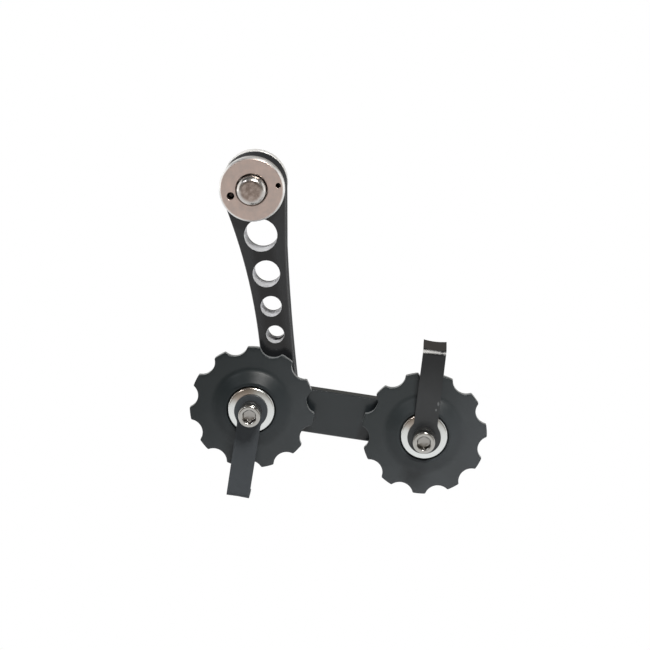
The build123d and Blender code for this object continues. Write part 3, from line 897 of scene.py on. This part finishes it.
def hangerBolt(shape):
    # turned bolt; on the threaded stretch the radius drops by a wave of depth / pitch - angle / turn, which
    # fades in and out over one pitch
    tip, end = endsOf("hanger_bolt")
    pitch, seat = shape["pitch"], end - shape["headHeight"]
    front = softSection([
        (0, tip, 0, 0),
        (shape["tipFace"], tip, 0, shape["tipEase"]),
        (shape["shank"], tip + shape["tipLength"], 0, shape["shoulderEase"]),
        (shape["shank"], tip + shape["thread"][0], 0, 0),
    ])
    stretch = tip + np.linspace(*shape["thread"], shape["threadRows"])
    threaded = np.stack((np.full_like(stretch, shape["shank"]), stretch, np.zeros_like(stretch)), axis=-1)
    rear = softSection([
        (shape["shank"], stretch[-1] + shape["runOut"], 0, 0),
        (shape["shank"], seat, 0, shape["neckEase"]),
        (shape["head"], seat, 0, shape["neckEase"]),
        (shape["head"], end, 0, shape["headEase"]),
        (shape["mouth"], end, 0, shape["mouthEase"]),
        (shape["socket"], end - shape["mouthDepth"], 1, shape["socketEase"]),
        (shape["socket"], end - shape["socketDepth"], 1, shape["floorEase"]),
        (0, end - shape["socketDepth"] - shape["floorDrop"], 1, 0),
    ])
    section = np.concatenate((front, threaded, rear))
    angle = roundAxis(shape["columns"])
    depth = section[:, 1:2]
    wave = np.abs(2 * ((depth / pitch - angle / (2 * np.pi)) % 1) - 1)
    fade = np.clip((depth - stretch[0]) / pitch, 0, 1) * np.clip((stretch[-1] - depth) / pitch, 0, 1)
    radius = spun(section, angle) - shape["threadDepth"] * wave * fade
    wovenPiece("hangerBoltThreaded", aroundAxle(radius, angle, depth, pivot), "hanger_bolt", False)


hangerBolt(hangerBoltShape)


springShape = {
    "wire": 0.7, "endEase": 0.12, "coil": 7.45, "pitch": 1.8, "turns": 2.75, "firstTurn": 4.05,
    "startAngle": 197.0, "bend": 1.2, "bendPoints": 12, "coilPoints": 260, "columns": 18,
}


def onCoil(shape, share):
    # helix: the angle runs back by 360 turns share, the depth rises by pitch turns share
    angle = np.radians(shape["startAngle"] - 360 * shape["turns"] * share)
    depth = shape["firstTurn"] + shape["pitch"] * shape["turns"] * share
    return np.stack((shape["coil"] * np.cos(angle), depth, shape["coil"] * np.sin(angle)), axis=-1)


def torsionSpring(shape):
    # wire carried along leg, elbow, coil, elbow and leg: centre + wire (outward cos + sideways sin)
    rise = np.array((0.0, shape["bend"], 0.0))
    taken = shape["bend"] / (2 * np.pi * shape["coil"] * shape["turns"])
    first, last, enter, leave = onCoil(shape, np.array((0, 1, taken, 1 - taken)))
    tip, foot = first.copy(), last.copy()
    tip[1], foot[1] = endsOf("torsion_spring")
    ease = rise * shape["endEase"] / shape["bend"]
    coil = onCoil(shape, np.linspace(taken, 1 - taken, shape["coilPoints"]))
    t = np.linspace(0, 1, shape["bendPoints"])[:, None]
    firstElbow, lastElbow = quadratic(first - rise, first, enter, t), quadratic(leave, last, last + rise, t)
    path = np.concatenate(((tip, tip + ease), firstElbow, coil[1:-1], lastElbow, (foot - ease, foot)))
    along = np.gradient(path, axis=0)
    along /= np.linalg.norm(along, axis=1, keepdims=True)
    outward = path * (1, 0, 1)
    outward -= along * np.sum(outward * along, axis=1, keepdims=True)
    outward /= np.linalg.norm(outward, axis=1, keepdims=True)
    sideways = np.cross(along, outward)
    rows = np.concatenate(((0,), np.arange(len(path)), (len(path) - 1,)))
    wire = np.full((len(rows), 1, 1), shape["wire"])
    wire[[1, -2]] -= shape["endEase"]
    wire[[0, -1]] = 0
    angle = roundAxis(shape["columns"])[:, None]
    ring = outward[rows, None] * np.cos(angle) + sideways[rows, None] * np.sin(angle)
    winds = (shape["firstTurn"] + shape["wire"], last[1] - shape["wire"])
    wovenPiece("springWound", path[rows, None] + wire * ring, "torsion_spring", False, winds)


torsionSpring(springShape)
print("pivot dressed")


softEdges = {  # width of the rounding on the edges, in millimetres
    "stop_disc": 0.25, "outer_cap": 0.25, "guide_chain_guard": 0.18, "tension_chain_guard": 0.18,
    "arm": 0.12,
}
softening = {"merge": 1e-6, "flatAngle": 0.4, "sharpAngle": 28, "segments": 3, "flatWeight": 100}


def softened(node, width):
    # merged copy of a CAD node whose sharp edges get a narrow rounding
    mesh = nodes[node].data.copy()
    mesh.name = node + "Soft"
    work = bmesh.new()
    work.from_mesh(mesh)
    bmesh.ops.remove_doubles(work, verts=work.verts, dist=softening["merge"])
    flatAngle = math.radians(softening["flatAngle"])
    bmesh.ops.dissolve_limit(work, angle_limit=flatAngle, verts=work.verts, edges=work.edges)
    work.to_mesh(mesh)
    work.free()
    mesh.shade_smooth()
    piece = bpy.data.objects.new(node + "Soft", mesh)
    rounding = piece.modifiers.new("rounding", "BEVEL")
    rounding.width = width * mm
    rounding.segments = softening["segments"]
    rounding.limit_method = "ANGLE"
    rounding.angle_limit = math.radians(softening["sharpAngle"])
    flats = piece.modifiers.new("flats", "WEIGHTED_NORMAL")
    flats.weight = softening["flatWeight"]
    standFor(piece, node)


for node, width in softEdges.items():
    softened(node, width)
print("edges softened on", len(softEdges), "pieces")
